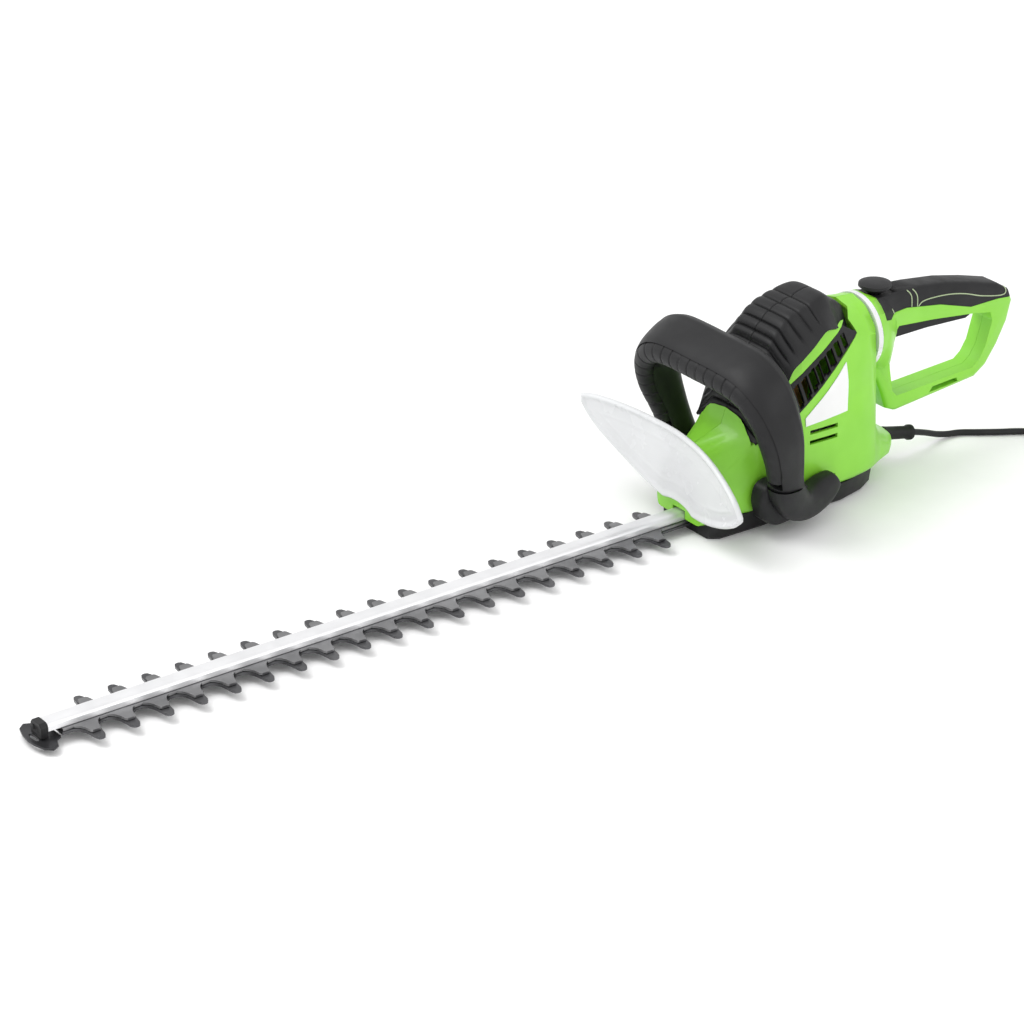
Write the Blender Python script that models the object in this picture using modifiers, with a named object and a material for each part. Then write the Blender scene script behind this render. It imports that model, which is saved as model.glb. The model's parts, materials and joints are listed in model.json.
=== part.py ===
"""Corded electric hedge trimmer with a turning rear handle.

Metres, +Z up. The blade points to -Y and X = 0 is the mid-plane. The underside of the gearbox cover
is at Z = 0. Sizes below are in millimetres in the tool frame: y from the first cutter tooth towards
the rear handle, z from the top of the lower blade. at() turns them into scene metres.
"""

import bmesh
import bpy
import numpy as np
from mathutils import Matrix, Vector

MM = 0.001
FIRST_TOOTH = -478.0
BLADE_TOP = 10.0
GAP = 0.3

PITCH = 32.0
TEETH = 19
STROKE = 8.0
LOWER_Z = (-2.5, 0.0)
UPPER_Z = (0.3, 2.6)
RAIL_Z = (2.9, 10.5)
RAIL_HALF = 8.0
GEAR_Y = 690.0
GEAR_TEETH = 40
PINION_TEETH = 10
MODULE = 1.45
MOTOR_Y = GEAR_Y + MODULE * (GEAR_TEETH + PINION_TEETH) / 2
TURN_Z = 134.0
RING_R = 36.5
SHELL = 3.0


def clear_scene():
    for obj in list(bpy.data.objects):
        bpy.data.objects.remove(obj, do_unlink=True)


clear_scene()
scene = bpy.context.scene
PARTS = bpy.data.collections.new("hedge_trimmer")
CUTTERS = bpy.data.collections.new("cutters")
scene.collection.children.link(PARTS)
scene.collection.children.link(CUTTERS)
CUTTERS.hide_render = True


def at(x, y, z):
    """Scene point of a tool-frame point."""
    return Vector((x * MM, (y + FIRST_TOOTH) * MM, (z + BLADE_TOP) * MM))


def material(name, colour, roughness, metallic=0.0):
    mat = bpy.data.materials.new(name)
    mat.use_nodes = True
    shader = mat.node_tree.nodes["Principled BSDF"]
    shader.inputs["Base Color"].default_value = (*colour, 1.0)
    shader.inputs["Roughness"].default_value = roughness
    shader.inputs["Metallic"].default_value = metallic
    mat.diffuse_color = (*colour, 1.0)
    return mat


GREEN = material("green_plastic", (0.28, 0.72, 0.05), 0.42)
BLACK = material("black_plastic", (0.018, 0.018, 0.02), 0.5)
RUBBER = material("soft_rubber", (0.02, 0.02, 0.022), 0.75)
MILKY = material("guard_plastic", (0.86, 0.87, 0.88), 0.35)
ALUMINIUM = material("rail_aluminium", (0.82, 0.82, 0.83), 0.35, 1.0)
STEEL = material("blade_steel", (0.36, 0.36, 0.37), 0.35, 1.0)
DARK_STEEL = material("plate_steel", (0.06, 0.06, 0.065), 0.45, 1.0)
COPPER = material("copper", (0.7, 0.3, 0.15), 0.35, 1.0)
BRASS = material("brass", (0.75, 0.55, 0.25), 0.35, 1.0)
SILVER = material("silver_print", (0.8, 0.81, 0.82), 0.3)
LABEL = material("label_vinyl", (0.88, 0.88, 0.88), 0.4)
ZINC = material("zinc_screw", (0.55, 0.56, 0.58), 0.35, 1.0)


def add(name, bm, mat, cutter=False, smooth=35.0):
    """A new object made of a bmesh in scene metres."""
    bmesh.ops.recalc_face_normals(bm, faces=bm.faces)
    mesh = bpy.data.meshes.new(name)
    bm.to_mesh(mesh)
    bm.free()
    obj = bpy.data.objects.new(name, mesh)
    if cutter:
        CUTTERS.objects.link(obj)
        obj.hide_render = True
        obj.display_type = "WIRE"
    else:
        PARTS.objects.link(obj)
        mesh.materials.append(mat)
        mesh.shade_smooth()
        mesh.set_sharp_from_angle(angle=np.radians(smooth))
    return obj


def loft(name, rings, mat=None, cutter=False):
    """One closed body through rings of tool-frame points, all rings with the same count."""
    bm = bmesh.new()
    made = [[bm.verts.new(at(*point)) for point in ring] for ring in rings]
    count = len(rings[0])
    for one, two in zip(made, made[1:]):
        for i in range(count):
            j = (i + 1) % count
            bm.faces.new((one[i], one[j], two[j], two[i]))
    bm.faces.new(made[0])
    bm.faces.new(made[-1])
    return add(name, bm, mat, cutter)


def prism(name, outline, axis, low, high, mat=None, cutter=False):
    """The outline pushed straight along an axis. The outline holds the other two coordinates."""
    order = {"x": (2, 0, 1), "y": (0, 2, 1), "z": (0, 1, 2)}[axis]
    bm = bmesh.new()
    verts = []
    for first, second in outline:
        values = (first, second, low)
        verts.append(bm.verts.new(at(*(values[i] for i in order))))
    face = bm.faces.new(verts)
    pushed = bmesh.ops.extrude_face_region(bm, geom=[face])["geom"]
    step = Vector(((high - low) * MM * (axis == a) for a in "xyz"))
    bmesh.ops.translate(bm, verts=[v for v in pushed if isinstance(v, bmesh.types.BMVert)], vec=step)
    return add(name, bm, mat, cutter)


def box(name, low, high, mat=None, cutter=False, bevel=0.0):
    bm = bmesh.new()
    bmesh.ops.create_cube(bm, size=1.0)
    low, high = at(*low), at(*high)
    bmesh.ops.scale(bm, vec=high - low, verts=bm.verts)
    bmesh.ops.translate(bm, vec=(high + low) / 2, verts=bm.verts)
    if bevel:
        bmesh.ops.bevel(bm, geom=bm.edges, offset=bevel * MM, segments=2, profile=0.5, affect="EDGES")
    return add(name, bm, mat, cutter)


def turned(name, centre, axis, profile, mat=None, cutter=False, steps=32):
    """A turned body: profile lists (radius, height) pairs and the rings are closed at both ends."""
    rings = []
    for radius, height in profile:
        ring = []
        for i in range(steps):
            a = 2 * np.pi * i / steps
            u, v = radius * np.cos(a), radius * np.sin(a)
            offset = {"x": (height, u, v), "y": (v, height, u), "z": (u, v, height)}[axis]
            ring.append(tuple(c + o for c, o in zip(centre, offset)))
        rings.append(ring)
    return loft(name, rings, mat, cutter)


def boolean(obj, other, operation="DIFFERENCE"):
    modifier = obj.modifiers.new(f"{operation.lower()}_{other.name}"[:60], "BOOLEAN")
    modifier.operation = operation
    modifier.solver = "EXACT"
    modifier.object = other
    return obj


def cut(obj, *others):
    for other in others:
        boolean(obj, other)
    return obj


def unite(obj, *others):
    for other in others:
        boolean(obj, other, "UNION")
    return obj


def keep(obj, *others):
    for other in others:
        boolean(obj, other, "INTERSECT")
    return obj


def pivot(obj, point):
    """Moves the origin of a piece to a tool-frame point and leaves its shape where it is."""
    place = at(*point)
    obj.data.transform(Matrix.Translation(-place))
    obj.location = place
    return obj


def baked(obj):
    """Applies the modifiers of one helper, so that later pieces read a plain mesh."""
    graph = bpy.context.evaluated_depsgraph_get()
    mesh = bpy.data.meshes.new_from_object(obj.evaluated_get(graph))
    obj.modifiers.clear()
    obj.data = mesh
    return obj


def filleted(corners, radius, steps=3):
    """A half outline whose inner corners are rounded, with a fixed point count."""
    points = [corners[0]]
    for before, here, after in zip(corners, corners[1:], corners[2:]):
        here = np.array(here, float)
        to_b = np.array(before) - here
        to_a = np.array(after) - here
        reach = min(radius, 0.45 * np.linalg.norm(to_b), 0.45 * np.linalg.norm(to_a))
        start = here + to_b / np.linalg.norm(to_b) * reach
        end = here + to_a / np.linalg.norm(to_a) * reach
        for t in np.linspace(0, 1, steps):
            points.append(tuple((1 - t) ** 2 * start + 2 * t * (1 - t) * here + t * t * end))
    return points + [corners[-1]]


def section(y, corners, radius, inset=0.0):
    """A ring across the tool from half-section corners (x, z), bottom middle to top middle."""
    half = filleted(corners, radius)
    middle = (half[0][1] + half[-1][1]) / 2
    reach = max((half[-1][1] - half[0][1]) / 2, 0.1)
    wide = max(x for x, _ in half)
    moved = []
    for x, z in half:
        scale_x = (wide - inset) / wide
        scale_z = (reach - inset) / reach
        moved.append((x * scale_x, middle + (z - middle) * scale_z))
    right = [(x, y, z) for x, z in moved]
    left = [(-x, y, z) for x, z in moved[-2:0:-1]]
    return right + left


def dressed(name, mesh, mat, angle=35.0):
    """A visible piece made of a ready mesh."""
    obj = bpy.data.objects.new(name, mesh)
    PARTS.objects.link(obj)
    mesh.materials.clear()
    mesh.materials.append(mat)
    mesh.shade_smooth()
    mesh.set_sharp_from_angle(angle=np.radians(angle))
    return obj


def mirrored(mesh):
    """The mesh on the other side of the mid-plane."""
    other = mesh.copy()
    other.transform(Matrix.Scale(-1, 4, Vector((1, 0, 0))))
    other.flip_normals()
    return other


# Motor housing: stations from the nose (y = 615) to the cord boss (y = 855).
BODY = [
    (615.0, [(0, 4), (29, 4), (31, 12), (31, 24), (29, 34), (16, 60), (0, 64)]),
    (623.0, [(0, 4), (32, 4), (34, 14), (35, 28), (32, 36), (18, 64), (0, 69)]),
    (623.7, [(0, 11), (33, 11), (35, 18), (36, 28), (32, 36), (18, 64), (0, 69)]),
    (640.0, [(0, 11), (40, 11), (43, 19), (43, 32), (36, 48), (19, 71), (0, 75)]),
    (661.0, [(0, 11), (44, 11), (47, 20), (47, 45), (37, 69), (20, 79), (0, 82)]),
    (667.0, [(0, 11), (44, 11), (47, 20), (47, 50), (36, 78), (22, 98), (0, 101)]),
    (681.0, [(0, 11), (45, 11), (48, 20), (48, 80), (36, 116), (22, 131), (0, 134)]),
    (694.0, [(0, 11), (45, 11), (48, 20), (48, 95), (37, 140), (23, 159), (0, 163)]),
    (705.0, [(0, 11), (46, 11), (49, 20), (49, 104), (37, 154), (23, 172), (0, 175)]),
    (716.0, [(0, 11), (46, 11), (49, 20), (49, 108), (38, 163), (24, 179), (0, 181)]),
    (739.0, [(0, 11), (46, 11), (49, 20), (49, 110), (38, 170), (24, 187), (0, 188)]),
    (757.0, [(0, 11), (46, 11), (49, 20), (48, 112), (37, 168), (22, 190), (0, 192)]),
    (782.0, [(0, 11), (45, 11), (48, 20), (46, 114), (36, 154), (22, 169), (0, 173)]),
    (800.0, [(0, 11), (42, 11), (45, 20), (42, 116), (34, 150), (18, 167), (0, 172)]),
    (811.0, [(0, 11), (39, 11), (42, 20), (36, 120), (33, 149), (18, 166), (0, 171)]),
    (813.0, [(0, 11), (38, 11), (40, 20), (35, 58), (30, 70), (15, 75), (0, 77)]),
    (826.0, [(0, 11), (31, 11), (34, 17), (33, 28), (27, 42), (14, 47), (0, 49)]),
    (843.0, [(0, 11), (24, 11), (26, 15), (25, 22), (20, 30), (10, 33), (0, 35)]),
    (855.0, [(0, 11), (14, 11), (15, 14), (15, 20), (13, 24), (7, 26), (0, 27)]),
]
# Where the skin stands steep, an inset also moves the station along y.
STEEP = {667.0: 1.0, 681.0: 0.7, 694.0: 0.5, 811.0: -1.0, 813.0: -1.0, 826.0: -0.7}


def body_loft(name, inset=0.0, first=0, last=None):
    """The housing skin, or the same skin drawn in by inset, also along y where a wall stands steep."""
    rings = []
    chosen = BODY[first:last]
    for i, (y, corners) in enumerate(chosen):
        shift = inset * STEEP.get(y, 0.0)
        if i == 0:
            shift = inset
        if i == len(chosen) - 1:
            shift = -inset
        rings.append(section(y + shift, corners, 6.0, inset))
    return loft(name, rings, cutter=True)


skin = body_loft("skin")
core = body_loft("core", SHELL, 3, -2)
left_side = box("left_side", (-300, -200, -50), (-0.15, 1200, 400), cutter=True)
right_side = box("right_side", (0.15, -200, -50), (300, 1200, 400), cutter=True)

HOOD_EDGE = [(665.7, 73), (670, 75), (700, 138), (741, 167), (768, 159), (784, 152), (791, 157)]
HOOD_EDGE += [(800, 200), (665.7, 200)]
HOOD_SHRUNK = [(666.0, 73.5), (669.8, 75.3), (699.8, 138.3), (740.9, 167.4), (768, 159.4), (784, 152.4)]
HOOD_SHRUNK += [(790.7, 157), (799.7, 200), (666.0, 200)]
PLAN = [(45, 655), (45, 745), (33, 767), (28, 781), (16, 790.4)]
PLAN_BIG = [(46, 655), (46, 745), (33.4, 767.3), (28.3, 781.3), (16.2, 790.8)]
hood_zone = prism("hood_zone", HOOD_SHRUNK, "x", -60, 60, cutter=True)
hood_away = prism("hood_away", HOOD_EDGE, "x", -60, 60, cutter=True)
for zone, plan in ((hood_zone, PLAN), (hood_away, PLAN_BIG)):
    outline = plan + [(-x, y) for x, y in plan[::-1]]
    keep(zone, prism(f"{zone.name}_plan", outline, "z", 40, 260, cutter=True))
    baked(zone)

VENT = [(779, 168.5), (786, 150.8), (706, 93.8), (698, 121.6)]
VENT_BIG = [(779.4, 169.2), (786.5, 150.6), (705.8, 93.3), (697.5, 121.8)]
LABEL_SHAPE = [(768, 130), (768, 84), (718, 82), (717, 90)]


# Bearing for the turning handle: a hole in the rear wall behind the scale ring.
neck_hole = turned("neck_hole", (0, 0, TURN_Z), "y", [(20.5, 798), (20.5, 830)], cutter=True)
blade_mouth = box("blade_mouth", (-8.6, 600, 0), (8.6, 700, 12), cutter=True)
cord_hole = turned("cord_hole", (0, 0, 19), "y", [(5.0, 830), (5.0, 870)], cutter=True)
wing_room = []
for s in (-1, 1):
    low, high = (s * 44 - 6.3, 717.7, 5), (s * 44 + 6.3, 756.3, 25.8)
    wing_room.append(box(f"wing_room_{s}", low, high, cutter=True))

SIDE_SLOTS = ((724, 757, 62), (724, 757, 72), (703, 714, 71))
side_slots = []
for i, (near, far, z) in enumerate(SIDE_SLOTS):
    outline = [(near, z), (far, z - 1), (far, z + 3.2), (near, z + 4.2)]
    side_slots.append(prism(f"side_slot_{i}", outline, "x", -60, -40, cutter=True))

# A bare shell for each half, then what passes through it.
vent_pockets = prism("vent_pocket", VENT_BIG, "x", -60, 60, cutter=True)
TAIL = [(807, 60), (830, 34), (849, 24), (849, 14), (780, 14), (780, 60)]
tail_room = prism("tail_room", TAIL, "x", -11, 11, cutter=True)
FLOOR = [(27, 645), (35, 665), (35, 790), (24, 803)]
floor_shape = FLOOR + [(-x, y) for x, y in FLOOR[::-1]]
floor_room = prism("floor_room", floor_shape, "z", 5, 20, cutter=True)
shell = body_loft("shell")
cut(shell, core, floor_room, tail_room, hood_away, vent_pockets)
cut(shell, neck_hole, blade_mouth, cord_hole, *wing_room)
baked(shell)

keep(shell, left_side)
baked(shell)
for slot in side_slots:
    baked(cut(shell, slot))
dressed("housing_left", shell.data, GREEN)
dressed("housing_right", mirrored(shell.data), GREEN)

hood = body_loft("hood")
hood_core = body_loft("hood_core", SHELL, 5, -2)
keep(hood, right_side, hood_zone)
baked(hood)
cut(hood, hood_core)
baked(hood)


dressed("motor_hood_right", hood.data.copy(), BLACK, 30)
dressed("motor_hood_left", mirrored(hood.data), BLACK, 30)

for name, side, sign in (("vent_left", left_side, -1), ("vent_right", right_side, 1)):
    low, high = sorted((sign * 35, sign * 60))
    insert = prism(name, VENT, "x", low, high, BLACK)
    keep(insert, skin)
    cut(insert, core)
    for i in range(7):
        t = 0.12 + 0.8 * i / 7
        a = np.array(VENT[3]) * (1 - t) + np.array(VENT[0]) * t
        b = np.array(VENT[2]) * (1 - t) + np.array(VENT[1]) * t
        across = (b - a) / np.linalg.norm(b - a)
        along = np.array((VENT[0][0] - VENT[3][0], VENT[0][1] - VENT[3][1]))
        along = along / np.linalg.norm(along) * 2.0
        a, b = a + across * 4, b - across * 4
        shape = [a - along, b - along, b + along, a + along]
        slot = prism(f"{name}_slot_{i}", [tuple(p) for p in shape], "x", low, high, cutter=True)
        cut(insert, slot)

label = prism("rating_label", LABEL_SHAPE, "x", 20, 60, LABEL)
keep(label, body_loft("label_top", -0.9))
cut(label, body_loft("label_back", -0.3))

# Gearbox cover under the housing, open at the top.
BASE = [
    (624.0, 32, 34),
    (633.0, 39, 41),
    (659.0, 40, 42),
    (740.0, 41, 44),
    (773.0, 42, 45),
    (801.0, 36, 39),
    (818.0, 27, 30),
]


def base_rings(inset, low, high):
    rings = []
    for i, (y, bottom, top) in enumerate(BASE):
        y += inset if i == 0 else (-inset if i == len(BASE) - 1 else 0)
        b, t = bottom - inset, top - inset
        half = [(0, low), (b - 3, low), (b, low + 3), (t, high), (0, high)]
        rings.append([(x, y, z) for x, z in half] + [(-x, y, z) for x, z in half[-2:0:-1]])
    return rings


base = loft("gearbox_cover", base_rings(0, -10, 10.7), BLACK)
cut(base, loft("base_room", base_rings(3, -7, 20), cutter=True))
for s in (-1, 1):
    wing = box(f"wing_{s}", (s * 43.7 - 4, 718, 2), (s * 43.7 + 4, 756, 25.5), cutter=True)
    unite(base, wing)
cut(base, box("blade_door", (-16, 610, -4), (16, 632, 20), cutter=True))
unite(base, turned("axle_boss", (0, GEAR_Y, 0), "z", [(7, -8), (7, -3.0)], cutter=True))
cut(base, turned("axle_bore", (0, GEAR_Y, 0), "z", [(3.8, -6.7), (3.8, 0)], cutter=True))

# Cutting bar: rail, caps, blades and guide bolts.
RAIL_END = 640.0
rail_shape = [(-RAIL_HALF, 2.9), (RAIL_HALF, 2.9), (RAIL_HALF, 7.4), (7.2, 9.1), (5.4, 10.2), (3.0, 10.5)]
rail_shape += [(-3.0, 10.5), (-5.4, 10.2), (-7.2, 9.1), (-RAIL_HALF, 7.4)]
rail = prism("guide_rail", rail_shape, "y", -34, RAIL_END, ALUMINIUM)
BOLTS = (70.0, 230.0, 390.0, 550.0)
for i, y in enumerate(BOLTS):
    cut(rail, turned(f"rail_bore_{i}", (0, y, 0), "z", [(2.8, 0), (2.8, 7.3)], cutter=True, steps=16))
    bolt = [(5.0, -5.2), (5.0, -2.8), (2.5, -2.8), (2.5, 7.0)]
    turned(f"guide_bolt_{i + 1}", (0, y, 0), "z", bolt, ZINC, steps=16)

cap_shape = [(-8.6, -2.2), (8.6, -2.2), (8.6, 7.6), (5.6, 11.0), (-5.6, 11.0), (-8.6, 7.6)]
cap = prism("rail_cap", cap_shape, "y", -41, -34.3, BLACK)
cut(cap, prism("cap_hollow", [(-4.5, 2), (4.5, 2), (4.5, 7), (-4.5, 7)], "y", -44, -39.5, cutter=True))
TIP = [(10, -24), (14, -30), (22, -33), (25, -39), (20, -45), (10, -48)]
tip_shape = TIP + [(0, -49)] + [(-x, y) for x, y in TIP[::-1]]
tip = prism("tip_plate", tip_shape, "z", -4.8, -2.8, DARK_STEEL)
oval = [(7 * np.cos(a), -43 + 2.2 * np.sin(a)) for a in np.linspace(0, 2 * np.pi, 16, endpoint=False)]
cut(tip, prism("tip_oval", oval, "z", -8, 2, cutter=True))


def tooth(y, sign, points):
    """One tooth outline in walking order along +y for the +x side."""
    walk = [(x, y - half) for x, half in points] + [(x, y + half) for x, half in points[::-1]]
    return [(sign * x, along) for x, along in (walk if sign > 0 else walk[::-1])]


def blade(name, points, bar, front, z_low, z_high):
    """A flat blade: bar, teeth staggered by half a pitch, guide slots and a driving yoke."""
    right = []
    left = []
    for k in range(TEETH):
        right += tooth(PITCH * k, 1, points)
        left += tooth(PITCH * k + PITCH / 2, -1, points)[::-1]
    tail = [(bar, 652), (20, 660), (20, 713), (17, 717)]
    outline = [(-bar, front), (bar, front)] + right + tail
    outline += [(-x, y) for x, y in tail[::-1]] + left[::-1]
    body = prism(name, outline, "z", z_low, z_high, STEEL)
    reach = STROKE + 3.0
    for i, y in enumerate(BOLTS):
        slot = []
        for a in np.linspace(0.01, 2 * np.pi + 0.01, 12, endpoint=False):
            end = reach if np.sin(a) > 0 else -reach
            slot.append((3 * np.cos(a), y + end + 3 * np.sin(a)))
        cut(body, prism(f"{name}_slot_{i}", slot, "z", -20, 20, cutter=True))
    yoke = [(12.8, 20.8), (-12.8, 20.8), (-12.8, -20.8), (12.8, -20.8)]
    yoke = [(x, GEAR_Y + y) for x, y in yoke]
    cut(body, prism(f"{name}_yoke", yoke, "z", -20, 20, cutter=True))
    return pivot(body, (0, 300, (z_low + z_high) / 2))


LOBE = [(10.8, 13.0), (13.5, 9.0), (18.0, 6.6), (25.0, 5.2), (31.0, 4.4), (34.0, 3.0), (35.0, 1.0)]
CUTTER = [(10.2, 12.0), (13.0, 8.6), (17.5, 6.2), (24.0, 4.6), (25.5, 3.4)]
blade("lower_blade", LOBE, 10.8, -23.0, *LOWER_Z)
blade("upper_blade", CUTTER, 10.2, -22.0, *UPPER_Z)

# Drive: gear with two crank pins in one piece, pinion on the motor shaft.


def gear_outline(teeth, x0, y0, phase, thin=0.42):
    pitch_r = MODULE * teeth / 2
    points = []
    root = pitch_r - 1.15 * MODULE
    crest = pitch_r + 0.8 * MODULE
    w = 2 * np.pi / teeth * thin
    for i in range(teeth):
        a = 2 * np.pi * i / teeth + phase
        for da, r in ((-0.62 * w, root), (-0.30 * w, crest), (0.30 * w, crest), (0.62 * w, root)):
            points.append((x0 + r * np.cos(a + da), y0 + r * np.sin(a + da)))
    return points


gear = prism("drive_gear", gear_outline(GEAR_TEETH, 0, GEAR_Y, np.pi / 2), "z", 4.0, 11.0, DARK_STEEL)
unite(gear, turned("gear_core", (0, GEAR_Y, 0), "z", [(3.6, -6.4), (3.6, 20.8)], cutter=True, steps=24))
for name, x, foot_z in (("crank_upper", STROKE, 0.5), ("crank_lower", -STROKE, -2.2)):
    unite(gear, turned(name, (x, GEAR_Y, 0), "z", [(4.2, foot_z), (4.2, 5.0)], cutter=True, steps=24))
pivot(gear, (0, GEAR_Y, 4))

pinion_shape = gear_outline(PINION_TEETH, 0, MOTOR_Y, -np.pi / 2 + np.pi / PINION_TEETH)
pinion = prism("pinion", pinion_shape, "z", 3.6, 11.4, DARK_STEEL)
cut(pinion, turned("pinion_bore", (0, MOTOR_Y, 0), "z", [(3.3, 0), (3.3, 20)], cutter=True, steps=20))
pivot(pinion, (0, MOTOR_Y, 7))

PLATE = [(34, 655), (38, 670), (38, 770), (30, 785)]
plate_shape = PLATE + [(-x, y) for x, y in PLATE[::-1]]
plate = prism("gearbox_plate", plate_shape, "z", 17.5, 20.5, DARK_STEEL)
cut(plate, turned("plate_axle", (0, GEAR_Y, 0), "z", [(3.9, 10), (3.9, 30)], cutter=True, steps=24))
cut(plate, turned("plate_shaft", (0, MOTOR_Y, 0), "z", [(8.3, 10), (8.3, 30)], cutter=True, steps=24))

rotor_profile = [(3.0, 3.4), (3.0, 61), (4.0, 61), (4.0, 74), (16.5, 74), (16.5, 116)]
rotor_profile += [(9, 118), (9, 128), (4, 128), (4, 158)]
rotor = turned("rotor", (0, MOTOR_Y, 0), "z", rotor_profile, STEEL)
pivot(rotor, (0, MOTOR_Y, 90))

fan = turned("cooling_fan", (0, MOTOR_Y, 0), "z", [(27, 45), (27, 46.5), (9, 47), (9, 57)], BLACK, steps=36)
for i in range(8):
    a = 2 * np.pi * i / 8
    u, v = np.array((np.cos(a), np.sin(a))), np.array((-np.sin(a), np.cos(a)))
    shape = [u * 8 - v, u * 26 - v, u * 26 + v, u * 8 + v]
    unite(fan, prism(f"fan_blade_{i}", [(p[0], p[1] + MOTOR_Y) for p in shape], "z", 45.8, 55, cutter=True))
cut(fan, turned("fan_bore", (0, MOTOR_Y, 0), "z", [(3.3, 40), (3.3, 60)], cutter=True, steps=20))
pivot(fan, (0, MOTOR_Y, 50))


def ring(name, centre, axis, inner, outer, low, high, mat, steps=32):
    body = turned(name, centre, axis, [(outer, low), (outer, high)], mat, steps=steps)
    through = [(inner, low - 5), (inner, high + 5)]
    return cut(body, turned(f"{name}_bore", centre, axis, through, cutter=True, steps=steps))


ring("stator", (0, MOTOR_Y, 0), "z", 17.5, 27.0, 75.0, 114.0, COPPER)
ring("bearing_lower", (0, MOTOR_Y, 0), "z", 3.3, 8.0, 17.7, 24.0, ZINC, 24)
ring("bearing_upper", (0, MOTOR_Y, 0), "z", 4.3, 9.0, 150.0, 156.0, ZINC, 24)
for name, s in (("brush_holder_left", -1), ("brush_holder_right", 1)):
    low, high = sorted((s * 9.6, s * 26))
    box(name, (low, MOTOR_Y - 4, 119.5), (high, MOTOR_Y + 4, 126.5), BRASS)

box("capacitor", (-8, 770, 40), (8, 790, 58), SILVER, bevel=1.0)
clamp = box("cord_clamp", (-9, 836, 14.5), (9, 842, 25), BLACK)
cut(clamp, turned("clamp_bore", (0, 0, 19), "y", [(3.4, 830), (3.4, 850)], cutter=True, steps=20))

# Hand guard: a leaf across the nose, thin in the middle and thick round the rim.
GUARD_TOP = [(-114, 87), (-92, 90), (-63, 90), (-33, 89), (-7, 88), (27, 84), (48, 78), (70, 69)]
GUARD_TOP += [(96, 56), (106, 46)]
GUARD_LOW = [(-114, 81), (-108, 69), (-92, 53), (-58, 34), (-31, 22), (0, 14.5), (31, 13), (60, 18)]
GUARD_LOW += [(82, 27), (103, 40)]
rings = []
for (xt, zt), (xl, zl) in zip(GUARD_TOP, GUARD_LOW):
    yt = 613.5 - 18 * (xt / 120) ** 2
    yl = 613.5 - 18 * (xl / 120) ** 2
    rings.append([(xl, yl - 2.6, zl), (xl, yl, zl), (xt, yt, zt), (xt, yt - 2.6, zt)])
guard = loft("hand_guard", rings, MILKY)
nose_arc = [(30 * np.cos(a), 5 + 15 * np.sin(a)) for a in np.linspace(0, 2 * np.pi, 28, endpoint=False)]
cut(guard, prism("nose_arc", nose_arc, "y", 580, 640, cutter=True))

# Front bail handle.
# Each station: x, y, z, half depth, half thickness and how far the section leans forward in degrees.
SADDLE = [
    (0, 647, 151.5, 25, 15.5, 30),
    (30, 647, 151.5, 25, 15.5, 30),
    (52, 647.5, 149.5, 25, 15.5, 30),
    (69, 648.5, 142, 24, 15, 26),
    (80, 651, 128, 22.5, 14.5, 14),
    (84.5, 655, 112, 21, 14.5, 5),
    (85, 660, 95, 19.5, 14.5, 0),
    (82, 666, 76, 17, 14, 0),
    (78, 671, 58, 15.5, 14, 0),
    (75, 675, 44, 16, 14, 0),
]
BAR_R = (11.6, 11.6, 11.6, 11.2, 11.0, 11.0, 11.0, 10.5, 10.0)
BAR_PROUD = 2.5


def bar_stations():
    """The switch bar follows the front edge of the saddle and stands proud of it."""
    stations = []
    for (x, y, z, deep, _, lean), radius in zip(SADDLE, BAR_R):
        reach = deep + BAR_PROUD - radius
        lean = np.radians(lean)
        stations.append((x, y - reach * np.cos(lean), z - reach * np.sin(lean), radius, radius, 0))
    return stations


def both_sides(stations):
    """The stations of a half arch with their mirror images, from the left foot to the right foot."""
    return [(-s[0], *s[1:]) for s in stations[:0:-1]] + list(stations)


def arch_rings(stations, grow=0.0, travel=0.0, power=2.0, count=20):
    """Rings square to an arch. travel stretches the rear half of each ring backwards."""
    points = np.array([s[:3] for s in stations], float)
    tangents = np.gradient(points, axis=0)
    rings = []
    for centre, tangent, station in zip(points, tangents, stations):
        tangent = tangent / np.linalg.norm(tangent)
        out = np.array((-tangent[2], 0.0, tangent[0]))
        out = out / np.linalg.norm(out)
        back = np.cross(out, tangent)
        back = back / np.linalg.norm(back) * np.sign(back[1])
        lean = np.radians(station[5])
        out, back = out * np.cos(lean) - back * np.sin(lean), back * np.cos(lean) + out * np.sin(lean)
        deep = station[3] + grow
        thick = station[4] + grow
        ring = []
        for a in np.linspace(0, 2 * np.pi, count, endpoint=False):
            c, s = np.cos(a), np.sin(a)
            c = np.sign(c) * abs(c) ** (2 / power)
            s = np.sign(s) * abs(s) ** (2 / power)
            ring.append(tuple(centre + out * thick * c + back * (deep * s + (travel if s > 1e-6 else 0.0))))
        rings.append(ring)
    return rings


saddle = loft("front_handle", arch_rings(both_sides(SADDLE), power=2.6, count=24), BLACK)
BAR = bar_stations()
last = np.array(BAR[-1]) + (np.array(BAR[-1]) - np.array(BAR[-2])) * (1, 1, 1, 0, 0, 0) * 0.3
channel = loft("bar_channel", arch_rings(both_sides(BAR[:-1] + [tuple(last)]), 0.35, 3.4), cutter=True)
below_seam = box("below_seam", (-140, 600, 0), (140, 740, 47.0), cutter=True)
above_seam = box("above_seam", (-140, 600, 46.7), (140, 740, 90), cutter=True)
cut(saddle, channel, below_seam)
bar = loft("switch_bar", arch_rings(both_sides(BAR)), RUBBER)
pivot(bar, BAR[0][:3])

FOOT = [
    (78, 671, 58, 15.5, 14),
    (75, 675, 44, 16, 14),
    (71.5, 683, 31, 16.5, 14),
    (68, 692, 22, 16, 14),
    (65, 703, 17, 15, 14),
    (62, 717, 17, 14.5, 13.5),
    (60, 732, 22, 14, 12),
    (59, 745, 29, 8, 8),
]


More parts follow.
